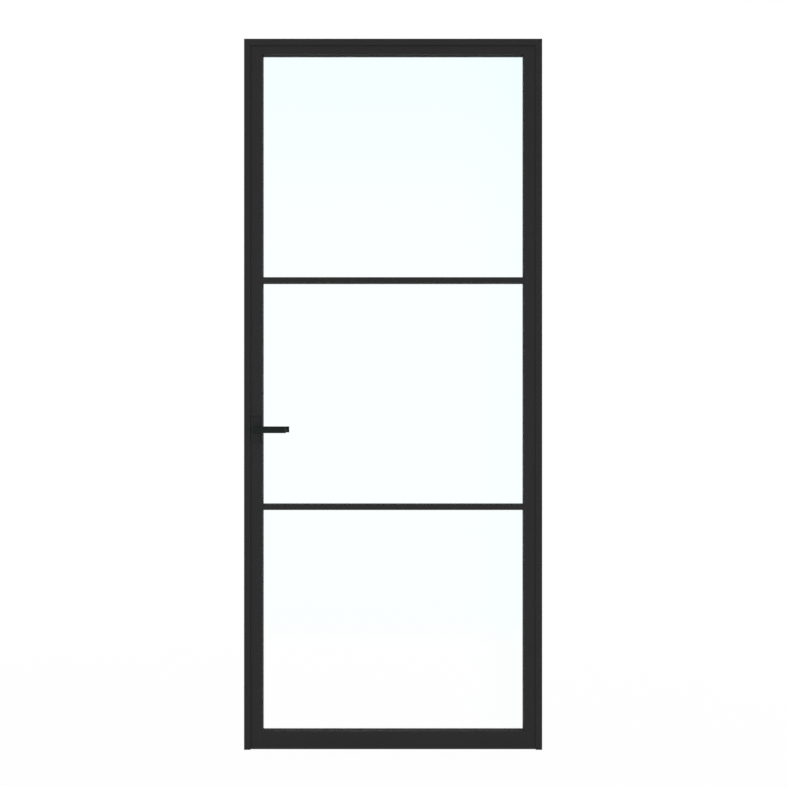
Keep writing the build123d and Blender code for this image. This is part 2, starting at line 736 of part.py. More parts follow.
def hinge_door_half(z0):
    """The hinge's inner half, which nests in the outer one: a plate and the middle knuckle."""
    front = BACK - HINGE_REACH + HINGE_BRIDGE + HINGE_NEST_CLEAR
    with BuildPart() as part:
        block((LEAF_X, front, z0 - DOOR_KNUCKLE), (DOOR_PLATE_X, PLATE_END, z0 + DOOR_KNUCKLE))
        knuckle(z0, -DOOR_KNUCKLE, DOOR_KNUCKLE, PIN_R + PIN_RUNNING_CLEAR)
        for y, z in HINGE_DOOR_SCREWS:
            if abs(z - z0) < DOOR_KNUCKLE:
                with Locations(sideways(DOOR_PLATE_X, y, z, 1)):
                    CounterSinkHole(SCREW_R, SCREW_HEAD_R, depth=HINGE_PLATE, counter_sink_angle=90)
    return part.part


def hinge_pin(z0):
    """Pin through all three knuckles, with a flat round head on top."""
    half = HINGE_LENGTH / 2
    with BuildPart() as part:
        with BuildSketch(Plane.XY.offset(z0 - half)):
            with Locations((HINGE_AXIS_X, HINGE_AXIS_Y)):
                Circle(PIN_R)
        extrude(amount=HINGE_LENGTH)
        with BuildSketch(Plane.XY.offset(z0 + half)):
            with Locations((HINGE_AXIS_X, HINGE_AXIS_Y)):
                Circle(KNUCKLE_R)
        extrude(amount=PIN_HEAD)
        chamfer(part.edges().group_by(Axis.Z)[-1], 0.8)
    return part.part


for name, z0 in zip(("lower", "middle", "upper"), HINGE_HEIGHTS):
    save(hinge_frame_half(z0), f"hinge_frame_half_{name}")
    save(hinge_door_half(z0), f"hinge_door_half_{name}")
    save(hinge_pin(z0), f"hinge_pin_{name}")

# Bearing washers between the knuckles
with BuildPart() as hinge_washers:
    for z0 in HINGE_HEIGHTS:
        for z in (-HINGE_WINDOW / 2, HINGE_WINDOW / 2 - WASHER):
            with BuildSketch(Plane.XY.offset(z0 + z)):
                with Locations((HINGE_AXIS_X, HINGE_AXIS_Y)):
                    Circle(KNUCKLE_R - 0.3)
                    Circle(PIN_R + PIN_RUNNING_CLEAR, mode=Mode.SUBTRACT)
            extrude(amount=WASHER)
save(hinge_washers.part, "hinge_washers")

# Countersunk screws: those of the frame's hinge halves and of the strike
frame_hinge_places = [(FRAME_PLATE_X, y, z, -1) for y, z in HINGE_FRAME_SCREWS]
strike_places = [(-REBATE_X, 0, LEVER_Z + LATCH_Z + s * STRIKE_SCREW_Z, 1) for s in (-1, 1)]
save(countersunk_screws(SCREW_LENGTH, SCREW_HEAD_R, frame_hinge_places), "hinge_screws")
save(countersunk_screws(STRIKE_SCREW_LENGTH, STRIKE_HEAD_R, strike_places), "strike_screws")

# The leaf's countersunk screws hold its hinge halves and the lock's faceplate
faceplate_screw_z = [LEVER_Z + s * FACEPLATE_SCREW_Z for s in (-1, 1)]
leaf_places = [(DOOR_PLATE_X, y, z, 1) for y, z in HINGE_DOOR_SCREWS]
leaf_places += [(-LEAF_X, 0, z, -1) for z in faceplate_screw_z]
save(countersunk_screws(SCREW_LENGTH, SCREW_HEAD_R, leaf_places), "leaf_screws")

# Faceplate of the lock, flush in the leaf's edge
with BuildPart() as faceplate:
    with BuildSketch(sideways(-LEAF_X, 0, LEVER_Z, 1)):
        RectangleRounded(FACEPLATE_WIDTH, 2 * FACEPLATE_HALF_LENGTH, 1.0)
        with Locations((0, LATCH_Z)):
            Rectangle(LATCH_THICK + 2 * LATCH_CLEAR, LATCH_TALL + 2 * LATCH_CLEAR, mode=Mode.SUBTRACT)
    extrude(amount=FACEPLATE_THICK)
    for z in faceplate_screw_z:
        with Locations(sideways(-LEAF_X, 0, z, -1)):
            CounterSinkHole(SCREW_R, SCREW_HEAD_R, depth=FACEPLATE_THICK, counter_sink_angle=90)
save(faceplate.part, "faceplate")


# Lock case: a tray with rims, open to the back, and its cover
CASE_LOW = LEVER_Z - CASE_BELOW
CASE_HIGH = LEVER_Z + CASE_ABOVE
COVER_Y = CASE_THICK / 2 - CASE_WALL
with BuildPart() as lock_case:
    block((CASE_FRONT_X, -CASE_THICK / 2, CASE_LOW), (CASE_BACK_X, COVER_Y, CASE_HIGH))
    block(
        (CASE_FRONT_X + CASE_WALL, -COVER_Y, CASE_LOW + CASE_WALL),
        (CASE_BACK_X - CASE_WALL, COVER_Y, CASE_HIGH - CASE_WALL),
        Mode.SUBTRACT,
    )
    latch_half = LATCH_THICK / 2 + LATCH_CLEAR
    tall_half = LATCH_TALL / 2 + LATCH_CLEAR
    block(
        (CASE_FRONT_X, -latch_half, LEVER_Z + LATCH_Z - tall_half),
        (CASE_FRONT_X + CASE_WALL, latch_half, LEVER_Z + LATCH_Z + tall_half),
        Mode.SUBTRACT,
    )
    handle_holes(HUB_R + PIN_RUNNING_CLEAR, CASE_THICK)
save(lock_case.part, "lock_case")

with BuildPart() as lock_cover:
    block((CASE_FRONT_X, COVER_Y, CASE_LOW), (CASE_BACK_X, CASE_THICK / 2, CASE_HIGH))
    handle_holes(HUB_R + PIN_RUNNING_CLEAR, CASE_THICK)
save(lock_cover.part, "lock_cover")

# Follower: the square hole takes the spindle, and its arm draws the latch back
ARM_TIP_X = -ARM_R * sin(radians(ARM_REST))
ARM_TIP_Z = ARM_R * cos(radians(ARM_REST))
with BuildPart() as follower:
    with BuildSketch(upright(-CASE_THICK / 2)):
        with Locations((-LEVER_X, LEVER_Z)):
            Circle(HUB_R)
    extrude(amount=CASE_THICK)
    with BuildSketch(upright(-HUB_DISC_THICK / 2)):
        with Locations((-LEVER_X, LEVER_Z)):
            Circle(HUB_DISC_R)
    extrude(amount=HUB_DISC_THICK)
    with BuildSketch(upright(-ARM_THICK / 2)):
        hub = Vector(-LEVER_X, LEVER_Z)
        tip = hub + Vector(-ARM_TIP_X, ARM_TIP_Z)
        across = Vector(ARM_TIP_Z, ARM_TIP_X).normalized()
        with BuildLine():
            Polyline(
                hub + across * ARM_ROOT,
                tip + across * ARM_TIP_R,
                tip - across * ARM_TIP_R,
                hub - across * ARM_ROOT,
                close=True,
            )
        make_face()
        with Locations(tip):
            Circle(ARM_TIP_R)
    extrude(amount=ARM_THICK)
    with BuildSketch(upright(-CASE_THICK / 2)):
        with Locations((-LEVER_X, LEVER_Z)):
            Rectangle(SPINDLE, SPINDLE)
    extrude(amount=CASE_THICK, mode=Mode.SUBTRACT)
save(follower.part, "follower")

# Latch bolt: a head with one slanted side, and a fork with a bar that the follower's arm pulls
FORK_BAR_X = LEVER_X + ARM_TIP_X + ARM_TIP_R + ARM_CLEAR
with BuildPart() as latch_bolt:
    half = LATCH_THICK / 2
    with BuildSketch(Plane.XY.offset(LEVER_Z + LATCH_Z - LATCH_TALL / 2)):
        with BuildLine():
            Polyline(
                (LATCH_BACK_X, -half),
                (-LEAF_X - 1.0, -half),
                (LATCH_TIP_X, half - LATCH_TIP_THICK),
                (LATCH_TIP_X, half),
                (LATCH_BACK_X, half),
                close=True,
            )
        make_face()
    extrude(amount=LATCH_TALL)
    fork = ARM_THICK / 2 + LATCH_CLEAR, ARM_THICK / 2 + LATCH_CLEAR + FORK_PLATE
    for s in (-1, 1):
        block(
            (LATCH_BACK_X, s * fork[0], LEVER_Z + FORK_LOW),
            (FORK_BAR_X + FORK_BAR, s * fork[1], LEVER_Z + FORK_HIGH),
        )
    block(
        (FORK_BAR_X, -fork[1], LEVER_Z + FORK_LOW),
        (FORK_BAR_X + FORK_BAR, fork[1], LEVER_Z + FORK_HIGH),
    )
save(latch_bolt.part, "latch_bolt")

# Latch spring between the head of the latch and the back wall of the case
SPRING_START = LATCH_BACK_X + SPRING_WIRE_R
SPRING_END = CASE_BACK_X - CASE_WALL - SPRING_WIRE_R
with BuildPart() as latch_spring:
    with BuildLine() as coil:
        Helix(
            pitch=(SPRING_END - SPRING_START) / SPRING_TURNS,
            height=SPRING_END - SPRING_START,
            radius=SPRING_R,
            center=(SPRING_START, 0, LEVER_Z + SPRING_Z),
            direction=(1, 0, 0),
        )
    with BuildSketch(Plane(origin=coil.line @ 0, z_dir=coil.line % 0)):
        Circle(SPRING_WIRE_R)
    sweep(is_frenet=True)
save(latch_spring.part, "latch_spring")

# Square spindle through both levers and the follower
with BuildPart() as spindle:
    block(
        (LEVER_X - SPINDLE / 2, -SPINDLE_HALF_LENGTH, LEVER_Z - SPINDLE / 2),
        (LEVER_X + SPINDLE / 2, SPINDLE_HALF_LENGTH, LEVER_Z + SPINDLE / 2),
    )
save(spindle.part, "spindle")


def rosette(side):
    """Narrow plate under a lever, with the lever's bearing and seats for its two bolts."""
    face = side * LEAF_THICK / 2
    with BuildPart() as part:
        with BuildSketch(upright(face)):
            with Locations((-LEVER_X, LEVER_Z)):
                RectangleRounded(ROSETTE_WIDE, ROSETTE_TALL, ROSETTE_CORNER_R)
        extrude(amount=side * ROSETTE_THICK)
        chamfer(part.faces().sort_by(Axis.Y)[-1 if side > 0 else 0].edges(), ROSETTE_EDGE)
        with BuildSketch(upright(face)):
            with Locations((-LEVER_X, LEVER_Z)):
                Circle(NECK_R + NECK_RUNNING_CLEAR)
        extrude(amount=side * ROSETTE_THICK, mode=Mode.SUBTRACT)
        with BuildSketch(upright(face)):
            for s in (-1, 1):
                with Locations((-LEVER_X, LEVER_Z + s * ROSETTE_BOLT_Z)):
                    Circle(ROSETTE_BOLT_R)
        extrude(amount=side * ROSETTE_BOLT_SEAT, mode=Mode.SUBTRACT)
    return part.part


def lever(side):
    """Lever handle: a round neck and a straight flat bar whose end turns about the neck's axis."""
    neck_start = side * (LEAF_THICK / 2 + NECK_FACE_CLEAR)
    bar_back = side * (LEAF_THICK / 2 + LEVER_STANDOFF)
    with BuildPart() as part:
        with BuildSketch(upright(bar_back)):
            with Locations((-LEVER_X, LEVER_Z)):
                Circle(LEVER_TALL / 2)
            span(-LEVER_X, -LEVER_X - LEVER_REACH, LEVER_Z - LEVER_TALL / 2, LEVER_Z + LEVER_TALL / 2)
        extrude(amount=side * LEVER_THICK)
        chamfer(part.faces().sort_by(Axis.Y)[-1 if side > 0 else 0].edges(), LEVER_EDGE)
        with BuildSketch(upright(neck_start)):
            with Locations((-LEVER_X, LEVER_Z)):
                Circle(NECK_R)
        extrude(amount=bar_back - neck_start)
        socket = side * SPINDLE_HALF_LENGTH - neck_start
        with BuildSketch(upright(neck_start)):
            with Locations((-LEVER_X, LEVER_Z)):
                Rectangle(SPINDLE, SPINDLE)
        extrude(amount=socket, mode=Mode.SUBTRACT)
        with BuildSketch(Plane.XY.offset(LEVER_Z - NECK_R)):
            with Locations((LEVER_X, side * GRUB_Y)):
                Circle(GRUB_R)
        extrude(amount=NECK_R - SPINDLE / 2, mode=Mode.SUBTRACT)
    return part.part


# Grub screws under the necks that hold the levers on the spindle
GRUB_Y = LEAF_THICK / 2 + ROSETTE_THICK + 2 * GRUB_R
with BuildPart() as grub_screws:
    for side in (-1, 1):
        with BuildSketch(Plane.XY.offset(LEVER_Z - NECK_R + SOFT_CLEAR)):
            with Locations((LEVER_X, side * GRUB_Y)):
                Circle(GRUB_R)
        extrude(amount=NECK_R - SPINDLE / 2 - SOFT_CLEAR)
        with BuildSketch(Plane.XY.offset(LEVER_Z - NECK_R + SOFT_CLEAR)):
            with Locations((LEVER_X, side * GRUB_Y)):
                RegularPolygon(HEX_KEY / 2, 6, major_radius=False)
        extrude(amount=HEX_DEPTH, mode=Mode.SUBTRACT)
save(grub_screws.part, "grub_screws")

for side, name in ((-1, "front"), (1, "back")):
    save(rosette(side), f"rosette_{name}")
    save(lever(side), f"lever_{name}")

# Bolts that pull the two rosettes together through the leaf
with BuildPart() as rosette_bolts:
    reach = LEAF_THICK / 2 + ROSETTE_BOLT_SEAT
    with BuildSketch(upright(-reach)):
        for s in (-1, 1):
            with Locations((-LEVER_X, LEVER_Z + s * ROSETTE_BOLT_Z)):
                Circle(ROSETTE_BOLT_R)
    extrude(amount=2 * reach)
save(rosette_bolts.part, "rosette_bolts")
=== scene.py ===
"""Looks of a slim three-pane glass door in its frame: finishes, rubber profiles, latch spring and room.

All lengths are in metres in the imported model's frame: X to the right, Y away from the front, Z up.
"""

from __future__ import annotations

import json
import logging
import math
from dataclasses import dataclass, field
from enum import Enum
from typing import Any, Union

import bmesh
import bpy
import numpy as np
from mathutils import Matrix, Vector

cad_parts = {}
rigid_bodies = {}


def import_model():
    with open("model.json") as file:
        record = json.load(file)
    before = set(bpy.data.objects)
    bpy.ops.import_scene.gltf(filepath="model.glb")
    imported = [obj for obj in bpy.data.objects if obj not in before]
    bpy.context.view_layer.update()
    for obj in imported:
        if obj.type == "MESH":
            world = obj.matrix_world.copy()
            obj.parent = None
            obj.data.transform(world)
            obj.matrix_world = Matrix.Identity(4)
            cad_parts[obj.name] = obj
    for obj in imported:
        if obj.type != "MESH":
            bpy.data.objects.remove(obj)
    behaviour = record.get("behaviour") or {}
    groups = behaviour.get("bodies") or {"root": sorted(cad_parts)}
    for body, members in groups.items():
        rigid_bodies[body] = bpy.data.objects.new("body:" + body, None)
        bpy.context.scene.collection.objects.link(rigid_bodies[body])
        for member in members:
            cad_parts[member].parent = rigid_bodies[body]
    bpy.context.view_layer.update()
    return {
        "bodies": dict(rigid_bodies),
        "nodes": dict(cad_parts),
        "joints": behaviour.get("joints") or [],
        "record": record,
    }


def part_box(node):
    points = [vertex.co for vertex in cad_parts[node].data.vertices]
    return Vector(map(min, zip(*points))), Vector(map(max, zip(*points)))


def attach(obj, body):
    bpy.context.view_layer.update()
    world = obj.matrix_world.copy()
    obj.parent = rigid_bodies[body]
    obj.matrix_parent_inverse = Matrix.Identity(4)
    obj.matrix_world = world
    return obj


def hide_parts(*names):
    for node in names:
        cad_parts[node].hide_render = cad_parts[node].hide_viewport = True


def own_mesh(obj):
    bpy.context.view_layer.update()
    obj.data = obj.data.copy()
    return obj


MM = 0.001
WHITE = (1.0, 1.0, 1.0)
NOISE_MEAN = 0.5
NOISE_ROUGHNESS = 0.55
SHARP_ANGLE = math.radians(32.0)
LOG = logging.getLogger("glass_door")

Triple = tuple[float, float, float]
Colour = Triple
Number = Union[float, "Value"]
Socket = bpy.types.NodeSocket


class Value:
    """A number socket of a shader. Arithmetic on it adds the Math nodes it needs."""

    def __init__(self, shader: "Shader", socket: Socket) -> None:
        """Keep the socket and the shader that new nodes go into.

        Args:
            shader: The shader under construction.
            socket: The output socket that holds the number.
        """
        self.shader = shader
        self.socket = socket

    def _math(self, operation: str, first: Number, second: Number = 0.0, clamp: bool = False) -> "Value":
        """Add one Math node and return its result, held between 0 and 1 where clamp is set."""
        settings = {"operation": operation, "use_clamp": clamp}
        return self.shader.value("ShaderNodeMath", settings, {0: first, 1: second})

    def __add__(self, other: Number) -> "Value":
        """Sum of this number and another."""
        return self._math("ADD", self, other)

    __radd__ = __add__

    def __sub__(self, other: Number) -> "Value":
        """This number less another."""
        return self._math("SUBTRACT", self, other)

    def __rsub__(self, other: Number) -> "Value":
        """Another number less this one."""
        return self._math("SUBTRACT", other, self)

    def __mul__(self, other: Number) -> "Value":
        """Product of this number and another."""
        return self._math("MULTIPLY", self, other)

    __rmul__ = __mul__

    def __truediv__(self, other: Number) -> "Value":
        """This number divided by another."""
        return self._math("DIVIDE", self, other)

    def clamped(self) -> "Value":
        """This number held between 0 and 1."""
        return self._math("ADD", self, 0.0, clamp=True)

    def larger(self, other: Number) -> "Value":
        """The larger of this number and another."""
        return self._math("MAXIMUM", self, other)

    def eased(self) -> "Value":
        """Smooth step of this number t held between 0 and 1: t * t * (3 - 2 t)."""
        t = self.clamped()
        return t * t * (3.0 - 2.0 * t)


class Shader:
    """Node tree of one material or of the world, filled through one method per kind of result."""

    def __init__(self, tree: bpy.types.NodeTree) -> None:
        """Empty the tree.

        Args:
            tree: The node tree to fill.
        """
        self.tree = tree
        tree.nodes.clear()

    @classmethod
    def of_material(cls, name: str) -> tuple[bpy.types.Material, "Shader"]:
        """Make an empty material.

        Args:
            name: Name of the material.

        Returns:
            The material and its shader.
        """
        material = bpy.data.materials.new(name)
        material.use_nodes = True
        return material, cls(material.node_tree)

    def node(
        self, kind: str, settings: dict[str, Any] | None = None, inputs: dict[int | str, Any] | None = None
    ) -> bpy.types.Node:
        """Add a node, set its options first and then its sockets.

        Args:
            kind: The node's type.
            settings: Options of the node by name.
            inputs: Values or links of its input sockets, by name or place.

        Returns:
            The new node.
        """
        node = self.tree.nodes.new(kind)
        for name, setting in (settings or {}).items():
            setattr(node, name, setting)
        for key, given in (inputs or {}).items():
            if isinstance(given, Value):
                given = given.socket
            if isinstance(given, Socket):
                self.tree.links.new(given, node.inputs[key])
            else:
                node.inputs[key].default_value = given
        return node

    def value(
        self,
        kind: str,
        settings: dict[str, Any] | None = None,
        inputs: dict[int | str, Any] | None = None,
        output: int | str = 0,
    ) -> Value:
        """Add a node as node() does and return one of its outputs as a number."""
        return Value(self, self.node(kind, settings, inputs).outputs[output])

    def place(self, scale: Triple = (1.0, 1.0, 1.0)) -> Socket:
        """Object coordinates, stretched by a factor along X, Y and Z."""
        coordinates = self.node("ShaderNodeTexCoord").outputs["Object"]
        return self.node("ShaderNodeMapping", None, {"Vector": coordinates, "Scale": scale}).outputs[0]

    def axes(self) -> tuple[Value, Value, Value]:
        """The three Object coordinates as numbers."""
        split = self.node("ShaderNodeSeparateXYZ", None, {0: self.place()})
        return tuple(Value(self, split.outputs[i]) for i in range(3))

    def noise(self, size: float, detail: float, scale: Triple = (1.0, 1.0, 1.0)) -> Value:
        """Cloudy noise of a given grain size, about 0.5 on average.

        Args:
            size: Size of one grain in metres.
            detail: How many finer layers are added.
            scale: Stretch of the pattern along X, Y and Z.

        Returns:
            The noise as a number.
        """
        inputs = {
            "Vector": self.place(scale),
            "Scale": 1.0 / size,
            "Detail": detail,
            "Roughness": NOISE_ROUGHNESS,
        }
        return self.value("ShaderNodeTexNoise", {"noise_dimensions": "3D"}, inputs, "Fac")

    def seen(self) -> Value:
        """One where the eye looks, straight, in a mirror or through glass, and nothing for other light.

        Returns:
            The number.
        """
        path = self.node("ShaderNodeLightPath")
        names = ("Is Camera Ray", "Is Glossy Ray", "Is Transmission Ray")
        camera, glossy, through = (Value(self, path.outputs[name]) for name in names)
        return camera.larger(glossy).larger(through)

    def blend(self, share: Number, first: Colour, second: Colour) -> Socket:
        """Mix two colours.

        Args:
            share: Share of the second colour.
            first: The first colour.
            second: The second colour.

        Returns:
            The colour socket.
        """
        # A Mix node for colours takes the share at input 0, the colours at 6 and 7, and mixes to output 2
        inputs = {0: share, 6: (*first, 1.0), 7: (*second, 1.0)}
        return self.node("ShaderNodeMix", {"data_type": "RGBA"}, inputs).outputs[2]

    def surface(self, kind: str, inputs: dict[int | str, Any]) -> Socket:
        """Add a node that holds a shader and return its output."""
        return self.node(kind, None, inputs).outputs[0]

    def principled(self, inputs: dict[int | str, Any]) -> Socket:
        """Add a Principled shader and return its output."""
        return self.surface("ShaderNodeBsdfPrincipled", inputs)

    def either(self, share: Number | Socket, first: Socket, second: Socket) -> Socket:
        """Mix two shaders by the second one's share."""
        return self.surface("ShaderNodeMixShader", {0: share, 1: first, 2: second})

    def relief(self, height: Value, depth: float) -> Socket:
        """Normal of a surface whose height varies from 0 to 1, and 1 stands for a depth in metres."""
        inputs = {"Height": height, "Distance": depth, "Strength": 1.0}
        return self.node("ShaderNodeBump", None, inputs).outputs[0]

    def show(self, surface: Socket, kind: str = "ShaderNodeOutputMaterial") -> None:
        """Connect a shader to the tree's output."""
        self.node(kind, None, {"Surface": surface})


def shades(colour: Colour, factor: float) -> Colour:
    """A colour made lighter or darker by a factor."""
    return tuple(min(1.0, part * factor) for part in colour)


@dataclass(frozen=True)
class Coat:
    """Sprayed or powder coated metal: fine grain, faint clouds in colour and gloss."""

    name: str
    colour: Colour
    roughness: float
    gloss: float
    grain: float = 0.6 * MM
    grain_depth: float = 0.06 * MM
    grains_to_a_wave: float = 6.0
    wave_share: float = 0.3
    cloud: float = 0.16
    darkest: float = 0.9
    lightest: float = 1.1
    cloud_roughness: float = 0.10
    grain_roughness: float = 0.06

    def build(self) -> bpy.types.Material:
        """Material whose colour and roughness follow broad clouds and whose relief is the coat's grain.

        Returns:
            The material.
        """
        material, shader = Shader.of_material(self.name)
        clouds = shader.noise(self.cloud, detail=3.0)
        grain = shader.noise(self.grain, detail=2.0)
        wave = shader.noise(self.grains_to_a_wave * self.grain, detail=1.0)
        dark, light = shades(self.colour, self.darkest), shades(self.colour, self.lightest)
        uneven = self.cloud_roughness * (clouds - NOISE_MEAN) + self.grain_roughness * (grain - NOISE_MEAN)
        height = (1.0 - self.wave_share) * grain + self.wave_share * wave
        surface = shader.principled(
            {
                "Base Color": shader.blend(clouds, dark, light),
                "Roughness": self.roughness + uneven,
                "Specular IOR Level": self.gloss,
                "Normal": shader.relief(height, self.grain_depth),
            }
        )
        shader.show(surface)
        return material


@dataclass(frozen=True)
class ClearGlass:
    """Clear float glass with a painted reflection in its colour: a very faint cyan, stronger towards the
    top and the right edge.

    The painted reflection grows over three stretches: the foot and the crown in height, and the edge
    across.
    """

    name: str
    painted_reflection_tint: Colour
    foot: tuple[float, float] = (0.32, 0.44)
    crown: tuple[float, float] = (1.70, 2.32)
    edge: tuple[float, float] = (0.20, 0.45)
    shares: Triple = (0.32, 0.47, 0.20)
    refraction: float = 1.5
    light_through: Colour = (0.92, 0.94, 0.94)

    def build(self) -> bpy.types.Material:
        """Transmitting material that lets lamps through to what is behind it.

        Returns:
            The material.
        """
        material, shader = Shader.of_material(self.name)
        across, _, up = shader.axes()
        # Painted reflection: the share of cyan in the glass's colour grows with height and towards the
        # right edge
        ramps = zip(self.shares, (up, up, across), (self.foot, self.crown, self.edge))
        share = sum(part * ((along - low) / (high - low)).eased() for part, along, (low, high) in ramps)
        glass = shader.principled(
            {
                "Base Color": shader.blend(share, WHITE, self.painted_reflection_tint),
                "Roughness": 0.0,
                "IOR": self.refraction,
                "Transmission Weight": 1.0,
            }
        )
        lamps = shader.node("ShaderNodeLightPath").outputs["Is Shadow Ray"]
        through = shader.surface("ShaderNodeBsdfTransparent", {"Color": (*self.light_through, 1.0)})
        shader.show(shader.either(lamps, glass, through))
        return material


@dataclass(frozen=True)
class Rubber:
    """Extruded black rubber: matt, with a fine grain and a dusty bloom in places."""

    name: str
    colour: Colour = (0.026, 0.026, 0.026)
    roughness: float = 0.72
    gloss: float = 0.3
    bloom: float = 0.05
    bloom_lightness: float = 1.5
    bloom_roughness: float = 0.15
    grain: float = 0.35 * MM
    grain_depth: float = 0.02 * MM

    def build(self) -> bpy.types.Material:
        """Material whose colour and roughness follow the bloom and whose relief is the grain.

        Returns:
            The material.
        """
        material, shader = Shader.of_material(self.name)
        bloom = shader.noise(self.bloom, detail=3.0)
        grain = shader.noise(self.grain, detail=2.0)
        surface = shader.principled(
            {
                "Base Color": shader.blend(bloom, self.colour, shades(self.colour, self.bloom_lightness)),
                "Roughness": self.roughness + self.bloom_roughness * (bloom - NOISE_MEAN),
                "Specular IOR Level": self.gloss,
                "Normal": shader.relief(grain, self.grain_depth),
            }
        )
        shader.show(surface)
        return material


class Grain(Enum):
    """How a bare metal surface was finished: the stretch of its fine marks along X, Y and Z."""

    BRUSHED_UPRIGHT = (1.0, 1.0, 0.02)
    DRAWN_LEVEL = (0.02, 1.0, 1.0)
    TURNED = (1.0, 1.0, 6.0)
    DULL = (1.0, 1.0, 1.0)


@dataclass(frozen=True)
class BareMetal:
    """Metal without paint: brushed, drawn, turned or dull, with clouds in its gloss."""

    name: str
    colour: Colour
    roughness: float
    grain: Grain
    mark: float = 0.25 * MM
    mark_depth: float = 0.012 * MM
    cloud: float = 0.02
    darkest: float = 0.86
    lightest: float = 1.08
    cloud_roughness: float = 0.12
    mark_roughness: float = 0.16

    def build(self) -> bpy.types.Material:
        """Metallic material with marks stretched as the grain says.

        Returns:
            The material.
        """
        material, shader = Shader.of_material(self.name)
        clouds = shader.noise(self.cloud, detail=3.0)
        marks = shader.noise(self.mark, detail=2.0, scale=self.grain.value)
        dark, light = shades(self.colour, self.darkest), shades(self.colour, self.lightest)
        uneven = self.cloud_roughness * (clouds - NOISE_MEAN) + self.mark_roughness * (marks - NOISE_MEAN)
        surface = shader.principled(
            {
                "Base Color": shader.blend(clouds, dark, light),
                "Metallic": 1.0,
                "Roughness": self.roughness + uneven,
                "Normal": shader.relief(marks, self.mark_depth),
            }
        )
        shader.show(surface)
        return material


@dataclass(frozen=True)
class Nylon:
    """Moulded nylon: smooth and slightly mottled."""

    name: str
    colour: Colour
    roughness: float = 0.42
    gloss: float = 0.45
    mottle: float = 8.0 * MM
    darkest: float = 0.9
    lightest: float = 1.12
    spark: float = 0.3 * MM
    spark_depth: float = 0.015 * MM
    spark_roughness: float = 0.1

    def build(self) -> bpy.types.Material:
        """Plastic material with a faint mottle and the fine sparked texture of a mould.

        Returns:
            The material.
        """
        material, shader = Shader.of_material(self.name)
        mottle = shader.noise(self.mottle, detail=2.0)
        spark = shader.noise(self.spark, detail=1.0)
        dark, light = shades(self.colour, self.darkest), shades(self.colour, self.lightest)
        surface = shader.principled(
            {
                "Base Color": shader.blend(mottle, dark, light),
                "Roughness": self.roughness + self.spark_roughness * (spark - NOISE_MEAN),
                "Specular IOR Level": self.gloss,
                "Normal": shader.relief(spark, self.spark_depth),
            }
        )
        shader.show(surface)
        return material


Finish = Union[Coat, ClearGlass, Rubber, BareMetal, Nylon]

POWDER_BLACK = (0.0202, 0.0202, 0.0202)
HINGE_BLACK = (0.017, 0.017, 0.017)
ROSETTE_BLACK = (0.0175, 0.0185, 0.0185)
HANDLE_BLACK = (0.0115, 0.0153, 0.0135)
NYLON_BLACK = (0.020, 0.020, 0.020)
# Cyan of the reflection painted into the glass's colour
PAINTED_REFLECTION_CYAN = (0.88, 1.0, 1.0)
HINGE_GRAIN = {"grain": 0.4 * MM, "grain_depth": 0.015 * MM}
SATIN_GRAIN = {"grain": 0.35 * MM, "grain_depth": 0.012 * MM}

FINISHES: dict[str, Finish] = {
    "frame_coat": Coat("black_powder_coat", POWDER_BLACK, roughness=0.62, gloss=0.12),
    "bead_coat": Coat("black_powder_coat_beads", POWDER_BLACK, roughness=0.62, gloss=0.12),
    "hinge_coat": Coat("black_hinge_coat", HINGE_BLACK, roughness=0.45, gloss=0.20, **HINGE_GRAIN),
    "rosette_coat": Coat("satin_black_rosette", ROSETTE_BLACK, roughness=0.55, gloss=0.10, **SATIN_GRAIN),
    "handle_coat": Coat("satin_black_handle", HANDLE_BLACK, roughness=0.60, gloss=0.06, **SATIN_GRAIN),
    "glass": ClearGlass("clear_glass", PAINTED_REFLECTION_CYAN),
    "rubber": Rubber("black_rubber"),
    "steel": BareMetal("turned_steel", (0.56, 0.56, 0.57), 0.28, Grain.TURNED),
    "screw_steel": BareMetal("blackened_steel", (0.055, 0.055, 0.060), 0.46, Grain.DULL),
    "plate_steel": BareMetal("satin_stainless_steel", (0.50, 0.50, 0.49), 0.34, Grain.BRUSHED_UPRIGHT),
    "case_steel": BareMetal("zinc_plated_steel", (0.55, 0.55, 0.52), 0.40, Grain.DULL, mark=0.8 * MM),
    "latch_metal": BareMetal("nickel_plated_latch", (0.62, 0.59, 0.53), 0.22, Grain.BRUSHED_UPRIGHT),
    "bare_aluminium": BareMetal("plain_aluminium", (0.68, 0.68, 0.69), 0.38, Grain.DRAWN_LEVEL),
    "nylon": Nylon("black_nylon", NYLON_BLACK),
}
# Nodes with a finish of their own instead of their slot's
OWN_FINISH = {"rosette_front": "rosette_coat", "rosette_back": "rosette_coat"}


def swept(name: str, sweeps: list[tuple[np.ndarray, bool]]) -> bpy.types.Object:
    """Mesh of one or more profiles carried through stations.

    Vertex (s, p) is point p of the profile at station s, and face (s, p) joins points p and p + 1 of
    stations s and s + 1, both counted round. An open path gets one flat cap at each end.

    Args:
        name: Name of the object.
        sweeps: For each sweep, points of shape (stations, profile points, 3), and whether the last
            station joins the first.

    Returns:
        The new object, at the origin.
    """
    points: list[np.ndarray] = []
    faces: list[list[int]] = []
    start = 0
    for grid, closed in sweeps:
        stations, around, _ = grid.shape
        index = start + np.arange(stations * around).reshape(stations, around)
        ahead = np.roll(index, -1, axis=0) if closed else index[1:]
        here = index if closed else index[:-1]
        quads = np.stack([here, np.roll(here, -1, axis=1), np.roll(ahead, -1, axis=1), ahead], axis=-1)
        faces += quads.reshape(-1, 4).tolist()
        if not closed:
            faces += [index[0][::-1].tolist(), index[-1].tolist()]
        points.append(grid.reshape(-1, 3))
        start += stations * around
    mesh = bpy.data.meshes.new(name)
    mesh.from_pydata(np.concatenate(points).tolist(), [], faces)
    outwards(mesh)
    mesh.polygons.foreach_set("use_smooth", np.ones(len(mesh.polygons), dtype=bool))
    mesh.set_sharp_from_angle(angle=SHARP_ANGLE)
    piece = bpy.data.objects.new(name, mesh)
    bpy.context.scene.collection.objects.link(piece)
    return piece


